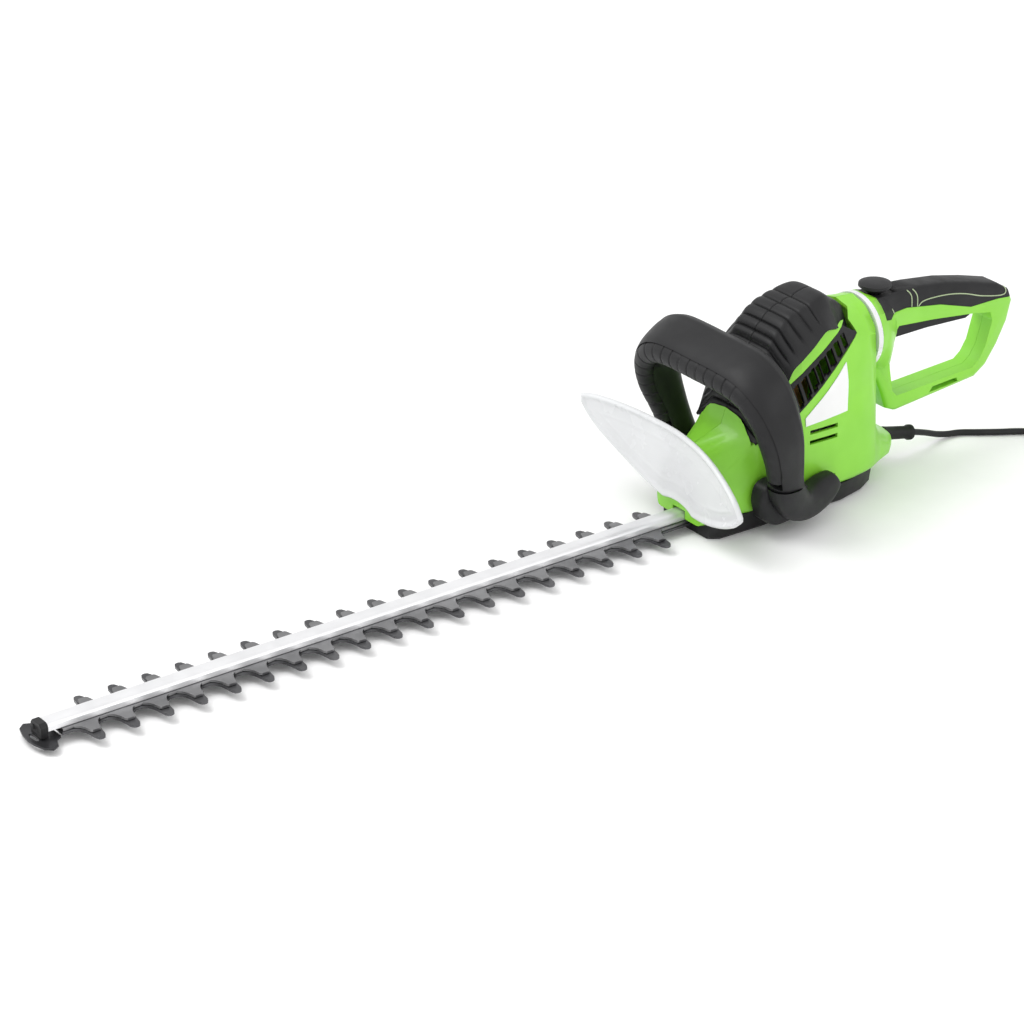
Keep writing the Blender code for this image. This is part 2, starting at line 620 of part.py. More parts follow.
def foot_rings(sign):
    points = np.array([s[:3] for s in FOOT], float)
    tangents = np.gradient(points, axis=0)
    rings = []
    for centre, tangent, station in zip(points, tangents, FOOT):
        tangent = tangent / np.linalg.norm(tangent)
        out = np.array((1.0, 0, 0)) - tangent[0] * tangent
        out = out / np.linalg.norm(out)
        back = np.cross(out, tangent)
        ring = []
        for a in np.linspace(0, 2 * np.pi, 20, endpoint=False):
            c, s = np.cos(a), np.sin(a)
            c = np.sign(c) * abs(c) ** 0.8
            s = np.sign(s) * abs(s) ** 0.8
            p = centre + out * station[4] * c + back * station[3] * s
            ring.append((sign * max(p[0], 50.3), p[1], p[2]))
        rings.append(ring)
    return rings


foot = loft("handle_foot_left", foot_rings(-1), BLACK)
cut(foot, above_seam)
pad_shape = [(660, 12), (656, 28), (660, 42), (672, 46), (690, 43), (712, 30), (712, 8), (690, 3), (672, 3)]
unite(foot, prism("foot_pad", pad_shape, "x", -66, -50.3, cutter=True))
FOOT_SCREWS = ((712, 15), (735, 25))
for i, (y, z) in enumerate(FOOT_SCREWS):
    cut(foot, turned(f"foot_hole_{i}", (0, y, z), "x", [(3.6, -90), (3.6, -56)], cutter=True, steps=16))
baked(foot)
dressed("handle_foot_right", mirrored(foot.data), BLACK)
for side, sign in (("left", -1), ("right", 1)):
    for i, (y, z) in enumerate(FOOT_SCREWS):
        a, b = sorted((sign * 56.3, sign * 62))
        screw = turned(f"foot_screw_{side}_{i + 1}", (0, y, z), "x", [(3.2, a), (3.2, b)], ZINC, steps=16)
        c, d = sorted((sign * 59, sign * 66))
        cut(screw, box(f"{screw.name}_slot", (c, y - 0.6, z - 2.6), (d, y + 0.6, z + 2.6), cutter=True))

# Scale ring between the housing and the turning handle.
scale = turned("scale_ring", (0, 0, TURN_Z), "y", [(RING_R, 813.3), (RING_R, 818.5)], SILVER, steps=48)
cut(scale, turned("scale_bore", (0, 0, TURN_Z), "y", [(21, 800), (21, 830)], cutter=True, steps=32))

# Rear handle: neck, D frame, soft grip.
OUTER = [(826, 169.5), (854, 167), (880, 165), (917, 160), (950, 152.5), (982, 143.5), (996.5, 134.5)]
OUTER += [(1001.5, 122.5), (996.5, 102.5), (985.5, 81.5), (972.5, 63.5), (958.5, 54.5), (901.5, 50)]
OUTER += [(860, 46), (849, 51), (843, 67.5), (836, 82), (826, 92)]
INNER = [(858.5, 131.5), (850, 118.5), (848, 107.5), (850, 91.5), (854.5, 67.5), (860.5, 61.5)]
INNER += [(954.5, 65.5), (962.5, 71.5), (969.5, 82.5), (976.5, 107.5), (973.5, 116.5), (954.5, 120.5)]
INNER += [(901.5, 127.5)]
NECK = [
    (819.0, 36.3, 97.8, 170.2),
    (828.0, 33.0, 97.0, 169.8),
    (840.0, 25.0, 86.0, 168.2),
    (850.0, 17.0, 82.0, 167.0),
    (856.0, 13.5, 84.0, 166.4),
]


def oval_ring(y, half, low, high, count=28):
    middle = (low + high) / 2
    reach = (high - low) / 2
    angles = np.linspace(0, 2 * np.pi, count, endpoint=False)
    return [(half * np.cos(a), y, middle + reach * np.sin(a)) for a in angles]


def handle_solid(name):
    frame = prism(name, OUTER, "x", -13, 13, cutter=True)
    bevel = frame.modifiers.new("round", "BEVEL")
    bevel.width = 4.0 * MM
    bevel.segments = 2
    bevel.limit_method = "ANGLE"
    bevel.angle_limit = np.radians(60)
    neck = loft(f"{name}_neck", [oval_ring(*n) for n in NECK], cutter=True)
    unite(frame, neck)
    hub = [(26, 802), (26, 805), (20, 805), (20, 822)]
    unite(frame, turned(f"{name}_hub", (0, 0, TURN_Z), "y", hub, cutter=True))
    cut(frame, prism(f"{name}_opening", INNER, "x", -60, 60, cutter=True))
    return baked(frame)


handle = handle_solid("handle_solid")
GRIP_ZONE = [(828, 200), (828, 150), (840, 145.5), (867, 147.5), (909, 140.5), (948, 128.5), (982, 128.5)]
GRIP_ZONE += [(1010, 125.5), (1010, 200)]
GRIP_AWAY = [(827.7, 200), (827.7, 149.8), (840, 145.2), (867, 147.2), (909, 140.2), (948, 128.2)]
GRIP_AWAY += [(982, 128.2), (1010, 125.2), (1010, 200)]
CORE = [(824, 142.5), (824, 160.5), (876, 158.5), (914, 153.5), (947, 146.5), (976, 138.5), (976, 123.5)]
CORE += [(947, 123.5), (908, 135.5), (866, 142.5)]
CORE_BIG = [(820, 137.5), (820, 160.9), (876.4, 158.9), (914.2, 153.9), (947.2, 146.9), (976.5, 138.9)]
CORE_BIG += [(976.5, 117.5), (947, 117.5), (908, 127.5), (866, 137.5)]
grip_zone = prism("grip_zone", GRIP_ZONE, "x", -60, 60, cutter=True)
grip_away = prism("grip_away", GRIP_AWAY, "x", -60, 60, cutter=True)
grip_core = prism("grip_core", CORE, "x", -8.5, 8.5, cutter=True)
grip_core_big = prism("grip_core_big", CORE_BIG, "x", -8.9, 8.9, cutter=True)
KNOB_ROOM = [(6.4, 140), (6.4, 165.4), (16.2, 165.4), (16.2, 200)]
knob_hole = turned("knob_hole", (0, 838, 0), "z", KNOB_ROOM, cutter=True)
switch_room = box("switch_room", (-7.0, 876.5, 137.5), (7.0, 921.5, 153), cutter=True)
trigger_room = box("trigger_room", (-8.6, 855, 115.5), (8.6, 954.5, 142), cutter=True)
HOOK = [(901, 54), (937, 56), (935, 60.5), (905, 59)]
hook_room = prism("hook_room", HOOK, "x", -60, 60, cutter=True)

frame = bpy.data.objects.new("frame_work", handle.data.copy())
CUTTERS.objects.link(frame)
frame.hide_render = True
frame.display_type = "WIRE"
cut(frame, grip_away)
unite(frame, grip_core)
cut(frame, knob_hole, switch_room, trigger_room, hook_room)
baked(frame)
for name, side in (("rear_handle_left", left_side), ("rear_handle_right", right_side)):
    half = dressed(name, frame.data.copy(), GREEN)
    keep(half, side)
    pivot(half, (0, 819, TURN_Z))
grip = dressed("rear_grip", handle.data.copy(), RUBBER)
keep(grip, grip_zone)
cut(grip, grip_core_big, knob_hole)
pivot(grip, (0, 819, TURN_Z))

KNOB = [(6, 150), (6, 168.4), (12.5, 170), (15.5, 172.3), (15.1, 174.8), (9, 176.4)]
knob = turned("lock_knob", (0, 838, 0), "z", KNOB, BLACK)
pivot(knob, (0, 838, 165))

TRIGGER = [(856.5, 119.5), (860.5, 118.5), (898.5, 118.5), (946.5, 116), (951.5, 118), (951.5, 125.5)]
TRIGGER += [(901.5, 132.5), (864.5, 136.5), (857.5, 135.5)]
trigger = prism("trigger", TRIGGER, "x", -8, 8, BLACK)
pivot(trigger, (0, 946.5, 121.5))
box("rear_switch", (-6.6, 876.9, 141.5), (6.6, 921.1, 152.0), BLACK, bevel=0.6)
box("front_switch", (20, 668, 26), (34, 686, 40), BLACK, bevel=0.6)

# Strain relief, power cord and plug.


def turned_along(name, start, end, profile, mat, steps=24):
    """A turned body on a slanted axis in the mid-plane. Heights are fractions of the way to end."""
    start, end = np.array(start, float), np.array(end, float)
    way = end - start
    across = np.array((1.0, 0, 0))
    up = np.cross(across, way / np.linalg.norm(way))
    rings = []
    for radius, t in profile:
        rings.append([tuple(start + way * t + radius * (across * np.cos(a) + up * np.sin(a)))
                      for a in np.linspace(0, 2 * np.pi, steps, endpoint=False)])
    return loft(name, rings, mat)


SLEEVE = [(6.6, 0.0), (6.4, 0.1), (6.0, 0.86), (7.3, 0.88), (7.3, 0.97), (4.6, 1.0)]
turned_along("strain_relief", (0, 857.3, 19.2), (0, 893, 11), SLEEVE, RUBBER)

CORD_R = 3.0
ROUTE = [
    (0, 893.5, 10.9),
    (-1.5, 905, 7),
    (-3, 917, 2.5),
    (-4, 931, -3),
    (-3, 944, -6.0),
    (0, 957, -6.8),
    (11, 973, -6.8),
    (21, 988, -6.8),
    (34, 1008, -6.8),
    (60, 1036, -6.8),
    (95, 1052, -6.8),
    (130, 1048, -6.8),
    (155, 1030, -5),
    (164, 1012, -2),
    (165, 1000.4, -1),
]


def smooth_route(points, count):
    """Catmull-Rom curve through the points, read at equal steps of the parameter."""
    p = np.array([points[0], *points, points[-1]], float)
    made = []
    for t in np.linspace(0, len(points) - 1, count):
        i = min(int(t), len(points) - 2)
        u = t - i
        a, b, c, d = p[i], p[i + 1], p[i + 2], p[i + 3]
        curve_2 = 2 * a - 5 * b + 4 * c - d
        curve_3 = 3 * b - a - 3 * c + d
        made.append(0.5 * (2 * b + (c - a) * u + curve_2 * u**2 + curve_3 * u**3))
    return made


curve = bpy.data.curves.new("power_cord", "CURVE")
curve.dimensions = "3D"
curve.bevel_depth = CORD_R * MM
curve.bevel_resolution = 2
curve.use_fill_caps = True
way = smooth_route(ROUTE, 36)
spline = curve.splines.new("POLY")
spline.points.add(len(way) - 1)
for point, place in zip(spline.points, way):
    point.co = (*at(*place), 1.0)
cord = bpy.data.objects.new("power_cord", curve)
curve.materials.append(RUBBER)
PARTS.objects.link(cord)

PLUG = [(1000, 4.4, 4.4), (990, 5.0, 5.0), (985, 9.5, 7.8), (976, 16.5, 8.9), (957, 18, 8.9), (952, 17, 8.4)]
plug_rings = [[(165 + x, y, -1 + z) for x, _, z in oval_ring(0, w, -h, h)] for y, w, h in PLUG]
plug = loft("plug", plug_rings, BLACK)
for s in (-1, 1):
    pin = [(2.4, 933), (2.4, 960)]
    unite(plug, turned(f"plug_pin_{s}", (165 + s * 9.5, 0, -1), "y", pin, cutter=True, steps=16))
print("built", len(PARTS.objects), "pieces")
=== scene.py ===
# %% [markdown]
# # Corded electric hedge trimmer
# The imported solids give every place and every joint. This script gives the looks: moulded shells with
# real wall edges, ground cutter teeth, a ribbed switch bar, a rolled rim on the guard and plastics
# with their own grain. Distances are metres, the blade points to -Y and +Z is up.

import json

import bmesh
import bpy
import numpy as np
from mathutils import Matrix, Vector
from mathutils.bvhtree import BVHTree

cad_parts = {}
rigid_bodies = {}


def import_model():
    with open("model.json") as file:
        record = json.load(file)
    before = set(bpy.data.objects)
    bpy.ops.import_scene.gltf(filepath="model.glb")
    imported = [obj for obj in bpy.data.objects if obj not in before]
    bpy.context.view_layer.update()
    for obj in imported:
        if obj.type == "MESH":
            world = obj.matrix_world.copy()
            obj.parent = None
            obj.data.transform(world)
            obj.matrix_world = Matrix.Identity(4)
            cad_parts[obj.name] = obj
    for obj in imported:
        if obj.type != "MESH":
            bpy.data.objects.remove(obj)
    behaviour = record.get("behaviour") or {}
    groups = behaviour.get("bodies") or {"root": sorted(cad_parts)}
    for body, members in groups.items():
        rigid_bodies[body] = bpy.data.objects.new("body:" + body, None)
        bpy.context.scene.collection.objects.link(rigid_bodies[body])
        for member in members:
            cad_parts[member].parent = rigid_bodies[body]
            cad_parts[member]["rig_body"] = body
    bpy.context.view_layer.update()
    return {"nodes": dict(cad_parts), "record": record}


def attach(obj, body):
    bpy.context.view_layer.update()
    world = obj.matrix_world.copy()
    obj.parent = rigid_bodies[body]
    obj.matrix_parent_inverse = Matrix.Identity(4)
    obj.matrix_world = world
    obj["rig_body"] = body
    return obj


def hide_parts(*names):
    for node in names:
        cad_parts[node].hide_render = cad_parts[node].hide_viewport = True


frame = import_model()
nodes = frame["nodes"]
MM = 0.001

# The maker's own ruler: y from the first tooth, z from the top of the lower blade, in millimetres.
FIRST_TOOTH = -478.0
BLADE_TOP = 10.0


def at(points):
    """Tool ruler (millimetres) to scene metres: shift along y and z, then divide by a thousand."""
    shift = np.array((0.0, FIRST_TOOTH, BLADE_TOP))
    return (np.asarray(points, float) + shift) * MM


# %% Camera
# %% [markdown]
# A long lens from the front right, a little above, is what flattens the bar and keeps its edges
# nearly parallel. The camera axes are worked out from azimuth, elevation and roll.
AZIMUTH = np.radians(53.382)
ELEVATION = np.radians(26.056)
ROLL = np.radians(0.27)
CAMERA_PLACE = (2.2154, -1.6947, 1.4205)
LENS = 125.85
level = np.cos(ELEVATION)
back = np.array((np.sin(AZIMUTH) * level, -np.cos(AZIMUTH) * level, np.sin(ELEVATION)))
right = np.array((np.cos(AZIMUTH), np.sin(AZIMUTH), 0.0))
up = np.cross(back, right)
right, up = right * np.cos(ROLL) + up * np.sin(ROLL), up * np.cos(ROLL) - right * np.sin(ROLL)
camera_data = bpy.data.cameras.new("studio_camera")
camera_data.lens = LENS
camera_data.sensor_width = 36.0
camera_data.clip_end = 50.0
camera = bpy.data.objects.new("studio_camera", camera_data)
bpy.context.scene.collection.objects.link(camera)
axes = Matrix(np.stack([right, up, back], axis=1).tolist())
camera.matrix_world = Matrix.Translation(Vector(CAMERA_PLACE)) @ axes.to_4x4()
bpy.context.scene.camera = camera
print("camera at", [round(c, 3) for c in camera.location], "m")

# %% Shader groups
# %% [markdown]
# Two small effects are shared by all finishes: a fine grain that raises the surface by a few
# hundredths of a millimetre, and a slow drift that keeps large areas from being one flat tone.


def new_group(name, inputs, outputs):
    """An empty shader group with number inputs (name, default) and the outputs (name, type)."""
    group = bpy.data.node_groups.new(name, "ShaderNodeTree")
    for label, value in inputs:
        socket = group.interface.new_socket(label, in_out="INPUT", socket_type="NodeSocketFloat")
        socket.default_value = value
    for label, kind in outputs:
        group.interface.new_socket(label, in_out="OUTPUT", socket_type=kind)
    return group, group.nodes.new("NodeGroupInput"), group.nodes.new("NodeGroupOutput")


def grain_group():
    """Moulded grain: height = fine noise + a little coarser noise, both in object space."""
    group, given, made = new_group(
        "moulded_grain", [("Scale", 900.0), ("Coarse", 0.3)], [("Height", "NodeSocketFloat")]
    )
    where = group.nodes.new("ShaderNodeTexCoord")
    fine = group.nodes.new("ShaderNodeTexNoise")
    coarse = group.nodes.new("ShaderNodeTexNoise")
    quarter = group.nodes.new("ShaderNodeMath")
    quarter.operation = "MULTIPLY"
    quarter.inputs[1].default_value = 0.25
    blend = group.nodes.new("ShaderNodeMix")
    group.links.new(where.outputs["Object"], fine.inputs["Vector"])
    group.links.new(where.outputs["Object"], coarse.inputs["Vector"])
    group.links.new(given.outputs["Scale"], fine.inputs["Scale"])
    group.links.new(given.outputs["Scale"], quarter.inputs[0])
    group.links.new(quarter.outputs[0], coarse.inputs["Scale"])
    group.links.new(given.outputs["Coarse"], blend.inputs["Factor"])
    group.links.new(fine.outputs["Fac"], blend.inputs["A"])
    group.links.new(coarse.outputs["Fac"], blend.inputs["B"])
    group.links.new(blend.outputs["Result"], made.inputs["Height"])
    return group


def drift_group():
    """Slow drift: value = low + (high - low) * soft noise, for roughness or tone."""
    group, given, made = new_group(
        "slow_drift", [("Scale", 25.0), ("Low", 0.4), ("High", 0.5)], [("Value", "NodeSocketFloat")]
    )
    where = group.nodes.new("ShaderNodeTexCoord")
    noise = group.nodes.new("ShaderNodeTexNoise")
    spread = group.nodes.new("ShaderNodeMapRange")
    group.links.new(where.outputs["Object"], noise.inputs["Vector"])
    group.links.new(given.outputs["Scale"], noise.inputs["Scale"])
    group.links.new(noise.outputs["Fac"], spread.inputs["Value"])
    spread.inputs["From Min"].default_value = 0.3
    spread.inputs["From Max"].default_value = 0.7
    group.links.new(given.outputs["Low"], spread.inputs["To Min"])
    group.links.new(given.outputs["High"], spread.inputs["To Max"])
    group.links.new(spread.outputs["Result"], made.inputs["Value"])
    return group


GRAIN = grain_group()
DRIFT = drift_group()


def use_group(mat, group, **values):
    """Places a shader group in a material and sets its numbers."""
    node = mat.node_tree.nodes.new("ShaderNodeGroup")
    node.node_tree = group
    for label, value in values.items():
        node.inputs[label].default_value = value
    return node


# %% Finishes
# %% [markdown]
# Moulded plastic, soft rubber and ground or plated steel differ in colour, roughness and grain, and
# hardly in anything else. One function therefore makes them all, and each finish is one call with
# its own numbers. Colours are linear and dark: a black plastic reflects about one part in a hundred.
ROUGH_SCALE = 3.1


def finish(name, dark, light, rough, metal=0.0, grain=900.0, depth=0.02, coarse=0.3, tone=30.0, shine=0.5):
    """Colour drifts from dark to light, roughness drifts over the pair rough, and grain raises it all.

    grain is the scale of the noise, depth its height in millimetres, coarse the share of the coarser
    noise, tone the scale of the drift and shine the strength of the plain reflection.
    """
    mat = bpy.data.materials.new(name)
    mat.use_nodes = True
    links = mat.node_tree.links
    shader = mat.node_tree.nodes["Principled BSDF"]
    shader.inputs["Metallic"].default_value = metal
    shader.inputs["Specular IOR Level"].default_value = shine
    tone_drift = use_group(mat, DRIFT, Scale=tone, Low=0.0, High=1.0)
    colours = mat.node_tree.nodes.new("ShaderNodeMix")
    colours.data_type = "RGBA"
    colours.inputs["A"].default_value = (*dark, 1.0)
    colours.inputs["B"].default_value = (*light, 1.0)
    links.new(tone_drift.outputs["Value"], colours.inputs["Factor"])
    links.new(colours.outputs["Result"], shader.inputs["Base Color"])
    rough_drift = use_group(mat, DRIFT, Scale=tone * ROUGH_SCALE, Low=rough[0], High=rough[1])
    links.new(rough_drift.outputs["Value"], shader.inputs["Roughness"])
    texture = use_group(mat, GRAIN, Scale=grain, Coarse=coarse)
    bump = mat.node_tree.nodes.new("ShaderNodeBump")
    bump.inputs["Strength"].default_value = 1.0
    bump.inputs["Distance"].default_value = depth * MM
    links.new(texture.outputs["Height"], bump.inputs["Height"])
    links.new(bump.outputs["Normal"], shader.inputs["Normal"])
    return mat


def set_socket(mat, label, value):
    """Sets one number on the material's own shader."""
    mat.node_tree.nodes["Principled BSDF"].inputs[label].default_value = value


LIME = finish("lime_shell", (0.235, 0.63, 0.035), (0.265, 0.68, 0.045), (0.36, 0.44), depth=0.015)
set_socket(LIME, "Coat Weight", 0.15)
CHARCOAL = finish(
    "charcoal_shell", (0.010, 0.010, 0.011), (0.014, 0.014, 0.015), (0.44, 0.52), depth=0.05,
    grain=1400, shine=0.3,
)
SOFT = finish(
    "soft_touch", (0.010, 0.010, 0.011), (0.015, 0.015, 0.016), (0.48, 0.58), depth=0.04,
    grain=1800, shine=0.3,
)
SATIN = finish(
    "satin_aluminium", (0.78, 0.78, 0.79), (0.86, 0.86, 0.87), (0.34, 0.46), 0.75, grain=600, depth=0.01
)
GROUND = finish(
    "ground_steel", (0.19, 0.19, 0.195), (0.29, 0.29, 0.295), (0.28, 0.4), 1.0, grain=700, depth=0.02
)
DARK_GROUND = finish(
    "dark_ground_steel", (0.075, 0.075, 0.08), (0.13, 0.13, 0.135), (0.3, 0.42), 0.9, grain=700, depth=0.02
)
BLUED = finish(
    "blued_steel", (0.035, 0.035, 0.038), (0.06, 0.06, 0.064), (0.35, 0.5), 0.8, grain=700, depth=0.03
)
ZINC = finish("zinc_plating", (0.5, 0.51, 0.53), (0.62, 0.63, 0.65), (0.3, 0.4), 1.0, depth=0.01)
COPPER = finish("copper_winding", (0.6, 0.26, 0.12), (0.75, 0.36, 0.2), (0.3, 0.45), 1.0, depth=0.05)
BRASS = finish("brass_brush_box", (0.7, 0.5, 0.2), (0.8, 0.6, 0.3), (0.3, 0.4), 1.0, depth=0.02)
VINYL = finish("label_vinyl", (0.84, 0.84, 0.84), (0.88, 0.88, 0.88), (0.3, 0.36), depth=0.005)
SILVER = finish("silver_ring", (0.72, 0.73, 0.74), (0.88, 0.88, 0.9), (0.25, 0.35), 0.3, depth=0.01)
MILKY = finish("milky_guard", (0.70, 0.71, 0.72), (0.78, 0.79, 0.80), (0.2, 0.3), depth=0.02, tone=15)
set_socket(MILKY, "Alpha", 0.82)

NODE_FINISH = {
    "green_plastic": LIME,
    "black_plastic": CHARCOAL,
    "soft_rubber": SOFT,
    "guard_plastic": MILKY,
    "rail_aluminium": SATIN,
    "blade_steel": GROUND,
    "plate_steel": BLUED,
    "copper": COPPER,
    "brass": BRASS,
    "silver_print": SILVER,
    "label_vinyl": VINYL,
    "zinc_screw": ZINC,
}
SLOT_OF = {part["node"]: part["material_slot"] for part in frame["record"]["subparts"]}
for name, node in nodes.items():
    node.data.materials.clear()
    node.data.materials.append(NODE_FINISH[SLOT_OF[name]])
print("finishes", len(NODE_FINISH), "on", len(nodes), "solids")

# %% Mesh helpers
# %% [markdown]
# A new piece is a mesh from a grid of points, merged, turned outwards and shaded smooth up to a
# chosen angle. A solid that already has the right shape is copied instead: the copy is merged, its
# flat triangles are joined, and a narrow bevel along its edges catches the light as a moulded or
# ground edge does. A bevel is quicker than modelling each edge, and it never moves a flat face.


def piece(name, points, faces, mat, body, node, smooth):
    """A shown piece of scene-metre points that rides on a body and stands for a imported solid."""
    mesh = bpy.data.meshes.new(name)
    mesh.from_pydata(points.tolist(), [], faces)
    mesh.materials.append(mat)
    obj = bpy.data.objects.new(name, mesh)
    bpy.context.scene.collection.objects.link(obj)
    work = bmesh.new()
    work.from_mesh(mesh)
    bmesh.ops.remove_doubles(work, verts=work.verts, dist=1e-6)
    bmesh.ops.recalc_face_normals(work, faces=work.faces)
    work.to_mesh(mesh)
    work.free()
    mesh.shade_smooth()
    mesh.set_sharp_from_angle(angle=np.radians(smooth))
    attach(obj, body)
    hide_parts(node)
    print(name, len(mesh.polygons), "faces")
    return obj


SHARP = np.radians(35.0)
FLAT = np.radians(1.0)


def softened(node, width=0.0):
    """A merged copy of a solid with smooth shading and, where width is given, rounded edges."""
    source = nodes[node]
    mesh = source.data.copy()
    work = bmesh.new()
    work.from_mesh(mesh)
    bmesh.ops.remove_doubles(work, verts=work.verts, dist=2e-6)
    flat = [e for e in work.edges if len(e.link_faces) == 2 and e.calc_face_angle(0) < FLAT]
    bmesh.ops.dissolve_edges(work, edges=flat, use_verts=True)
    work.to_mesh(mesh)
    work.free()
    mesh.shade_smooth()
    mesh.set_sharp_from_angle(angle=SHARP)
    obj = bpy.data.objects.new(f"{node}_look", mesh)
    bpy.context.scene.collection.objects.link(obj)
    if width:
        bevel = obj.modifiers.new("edge", "BEVEL")
        bevel.width = width * MM
        bevel.segments = 2
        bevel.limit_method = "ANGLE"
        bevel.angle_limit = SHARP
        bevel.harden_normals = True
    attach(obj, source["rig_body"])
    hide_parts(node)
    return obj


# %% Pieces that keep their solid's shape
EDGE_WIDTHS = {
    "housing_left": 0.0,
    "housing_right": 0.0,
    "gearbox_cover": 0.0,
    "rear_handle_left": 0.0,
    "rear_handle_right": 0.0,
    "rear_grip": 0.0,
    "lock_knob": 0.0,
    "strain_relief": 0.0,
    "scale_ring": 0.0,
    "plug": 0.0,
    "trigger": 0.0,
    "guide_rail": 0.3,
    "rail_cap": 1.0,
    "upper_blade": 0.6,
    "lower_blade": 0.7,
    "tip_plate": 0.4,
}
for name, width in EDGE_WIDTHS.items():
    softened(name, width)
lower_look = bpy.data.objects["lower_blade_look"]
lower_look.data.materials.clear()
lower_look.data.materials.append(DARK_GROUND)
print("softened copies", len(EDGE_WIDTHS))

# %% Surface helpers
# %% [markdown]
# Curved pieces are grids of points: one row per station along the piece, one column per step around
# it. Stations are few and a Catmull-Rom curve fills in the rows between them.


def smooth_rows(stations, count):
    """Catmull-Rom rows through the stations, read at equal steps of the station number."""
    padded = np.array([stations[0], *stations, stations[-1]], float)
    t = np.linspace(0, len(stations) - 1, count)
    i = np.minimum(t.astype(int), len(stations) - 2)
    u = (t - i)[:, None]
    a, b, c, d = padded[i], padded[i + 1], padded[i + 2], padded[i + 3]
    return 0.5 * (2 * b + (c - a) * u + (2 * a - 5 * b + 4 * c - d) * u**2 + (3 * b - a - 3 * c + d) * u**3)


def tube_faces(rows, columns):
    """Quads of a closed tube of rows rings, and one face on each end."""
    index = np.arange(rows * columns).reshape(rows, columns)
    ahead = np.roll(index, -1, axis=1)
    quads = np.stack([index[:-1], ahead[:-1], ahead[1:], index[1:]], axis=-1).reshape(-1, 4)
    return quads.tolist() + [index[0].tolist(), index[-1].tolist()]


def tube_piece(name, grid, mat, body, node, smooth):
    """A closed tube through a (rows, columns, 3) grid of tool-ruler points."""
    rows, columns = grid.shape[:2]
    return piece(name, at(grid.reshape(-1, 3)), tube_faces(rows, columns), mat, body, node, smooth)


def skin_piece(name, grid, inner, mat, body, node, smooth):
    """A closed skin: the outer grid, the inner grid and the four rims between them."""
    rows, columns = grid.shape[:2]
    index = np.arange(rows * columns).reshape(rows, columns)
    under = index + rows * columns
    quads = []
    for layer in (index, under):
        corners = [layer[:-1, :-1], layer[:-1, 1:], layer[1:, 1:], layer[1:, :-1]]
        quads += np.stack(corners, axis=-1).reshape(-1, 4).tolist()
    rim = np.concatenate([index[0], index[1:, -1], index[-1, -2::-1], index[-2:0:-1, 0]])
    low = rim + rows * columns
    quads += np.stack([rim, np.roll(rim, -1), np.roll(low, -1), low], axis=-1).tolist()
    points = np.concatenate([grid.reshape(-1, 3), inner.reshape(-1, 3)])
    return piece(name, at(points), quads, mat, body, node, smooth)


def superellipse(angles, power):
    """Cosine and sine with both raised to 2 / power: 2 is an ellipse, more is squarer."""
    c, s = np.cos(angles), np.sin(angles)
    return np.sign(c) * np.abs(c) ** (2 / power), np.sign(s) * np.abs(s) ** (2 / power)


def round_line(name, way, radius, resolution, mat):
    """A curve of one open spline through scene-metre points: radius in millimetres, ends closed."""
    curve = bpy.data.curves.new(name, "CURVE")
    curve.dimensions = "3D"
    curve.bevel_depth = radius * MM
    curve.bevel_resolution = resolution
    curve.use_fill_caps = True
    spline = curve.splines.new("POLY")
    spline.points.add(len(way) - 1)
    spline.points.foreach_set("co", np.column_stack([way, np.ones(len(way))]).ravel())
    obj = bpy.data.objects.new(name, curve)
    bpy.context.scene.collection.objects.link(obj)
    curve.materials.append(mat)
    return obj


# %% Cord
# %% [markdown]
# The mains lead is a short pigtail with a plug, made to go into an extension lead. It leaves the
# strain relief level, sinks to the floor under its own weight and lies there in one loose curve. A
# curve object with a round section keeps its length exactly, so it can be measured.
CORD_RADIUS = 3.0
ROUTE = [
    (0, 893.5, 10.9),
    (-1.5, 905, 7),
    (-3, 917, 2.5),
    (-4, 931, -3),
    (-3, 944, -6.0),
    (0, 957, -6.8),
    (11, 973, -6.8),
    (21, 988, -6.8),
    (34, 1008, -6.8),
    (60, 1036, -6.8),
    (95, 1052, -6.8),
    (130, 1048, -6.8),
    (155, 1030, -5),
    (164, 1012, -2),
    (165, 1000.4, -1),
]

way = at(smooth_rows(ROUTE, 120))
mains_cord = round_line("mains_cord", way, CORD_RADIUS, 6, SOFT)
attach(mains_cord, "housing")
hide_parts("power_cord")

# %% Front handle and switch bar
# %% [markdown]
# The saddle is a bail over the nose. Each station gives x, y, z, half depth, half thickness, the lean
# of its section and the radius of the switch bar that lies in its front edge.
SADDLE = [
    (0, 647, 151.5, 25, 15.5, 30, 11.6),
    (30, 647, 151.5, 25, 15.5, 30, 11.6),
    (52, 647.5, 149.5, 25, 15.5, 30, 11.6),
    (69, 648.5, 142, 24, 15, 26, 11.2),
    (80, 651, 128, 22.5, 14.5, 14, 11.0),
    (84.5, 655, 112, 21, 14.5, 5, 11.0),
    (85, 660, 95, 19.5, 14.5, 0, 11.0),
    (82, 666, 76, 17, 14, 0, 10.5),
    (78, 671, 58, 15.5, 14, 0, 10.0),
    (75, 675, 43, 16, 14, 0, 10.0),
]
BAR_PROUD = 2.5
BAR_TRAVEL = 3.4
BAR_CLEARANCE = 0.4
BAR_LOW_Z = 55.0
SEAM_Z = 46.85
SEAM_GAP = 0.25
RAISED_LINE = {"angle": np.radians(38), "spread": 0.16, "height": 0.8}
GROOVE_PITCH = 12.0
GROOVE_DEPTH = 0.9
GROOVE_SPREAD = 0.7
LAST_GROOVE_X = 62.0
GROOVE_FADE = 5.0
BAR_END = 4.0


def both_sides(stations):
    """A half arch and its mirror image, from the left foot to the right foot."""
    return [(-s[0], *s[1:]) for s in stations[:0:-1]] + list(stations)


